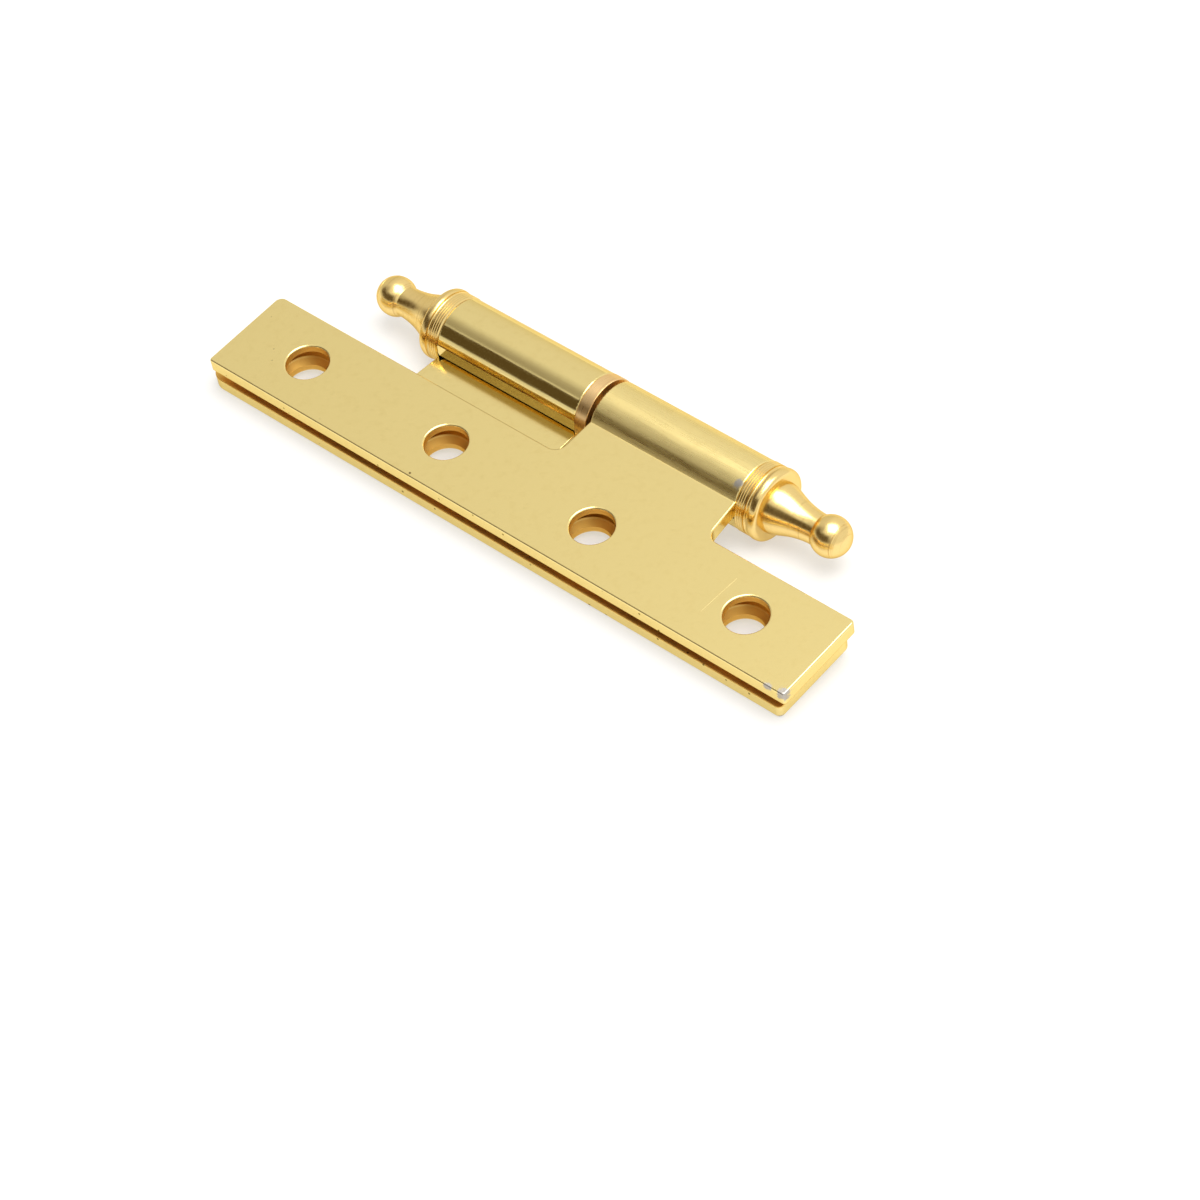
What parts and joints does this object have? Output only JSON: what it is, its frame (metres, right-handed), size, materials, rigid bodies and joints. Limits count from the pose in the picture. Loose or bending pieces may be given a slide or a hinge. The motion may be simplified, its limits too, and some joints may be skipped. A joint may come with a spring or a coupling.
{
  "type": "door hinge",
  "caption": "Lift-off door hinge in brass-plated steel: slim leaves with rolled knuckles, a bearing ring on the pin and turned ball-tip finials.",
  "frame": {"origin": "centre of the frame leaf's row of screw holes, on that leaf's mounting face, with the hinge folded shut", "axes": "+X along the hinge pin towards the door leaf's knuckle, +Y from the leaves' free edges towards the knuckles, +Z square to the leaves from the frame leaf to the door leaf"},
  "size_m": [0.1111, 0.0332, 0.0114],
  "materials": {
    "plated_leaf": "polished, bright brass plate over steel",
    "pin_steel": "ground bright steel",
    "ring_brass": "turned, reddish brass",
    "turned_brass": "turned and polished, fine lathe lines"
  },
  "bodies": {
    "frame_side": {"frame_leaf": "plated_leaf", "hinge_pin": "pin_steel", "frame_finial": "turned_brass"},
    "ring": {"bearing_ring": "ring_brass"},
    "door_side": {"door_leaf": "plated_leaf", "door_finial": "turned_brass"}
  },
  "joints": [
    {"name": "leaf_swing", "type": "hinge", "parent": "frame_side", "child": "ring", "pos_m": [0, 0.0195, 0.003], "axis": [-1, 0, 0], "range_deg": [0, 180]},
    {"name": "lift_off", "type": "slide", "parent": "ring", "child": "door_side", "axis": [1, 0, 0], "range_m": [-0.00064, 0.03]}
  ]
}
